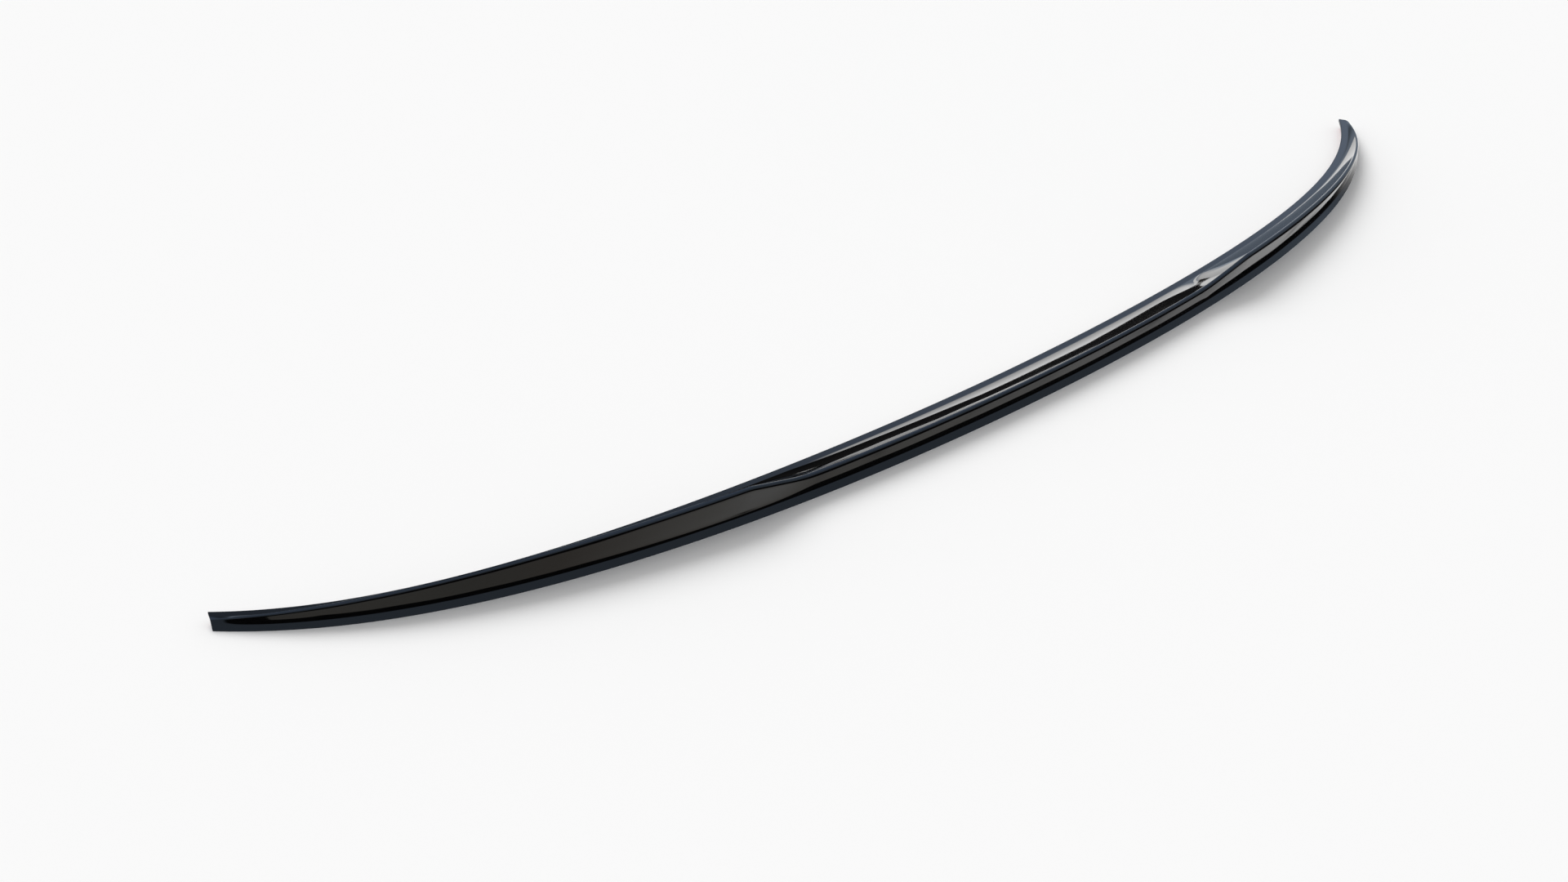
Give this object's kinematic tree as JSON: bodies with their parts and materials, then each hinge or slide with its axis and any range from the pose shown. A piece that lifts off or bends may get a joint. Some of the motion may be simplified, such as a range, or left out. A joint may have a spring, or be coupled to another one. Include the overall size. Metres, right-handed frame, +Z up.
{
  "type": "boot lid lip spoiler",
  "caption": "Slim full-width lip spoiler, hollow underneath, that sticks on a car's boot lid edge with foam tape; high outer ridges step down to a scooped middle.",
  "frame": {"origin": "bottom centre of the bounding box: mid width, midway between the ridge's rearmost point and the tips' foremost points, on the plane of the trimmed rear edge", "axes": "+X across the car, +Y towards the car's front (the thin flange side), +Z up"},
  "size_m": [1.2, 0.1782, 0.0335],
  "materials": {
    "gloss_black_sheet": "high-gloss black ABS with a faint moulded waviness; the same sheet is satin on its hidden inner side",
    "tape_foam": "matt dark acrylic foam",
    "release_film": "satin red release film, slightly translucent"
  },
  "bodies": {
    "root": {"spoiler_shell": "gloss_black_sheet", "front_tape_foam": "tape_foam", "front_tape_liner": "release_film", "rear_tape_foam": "tape_foam", "rear_tape_liner": "release_film"}
  },
  "joints": []
}
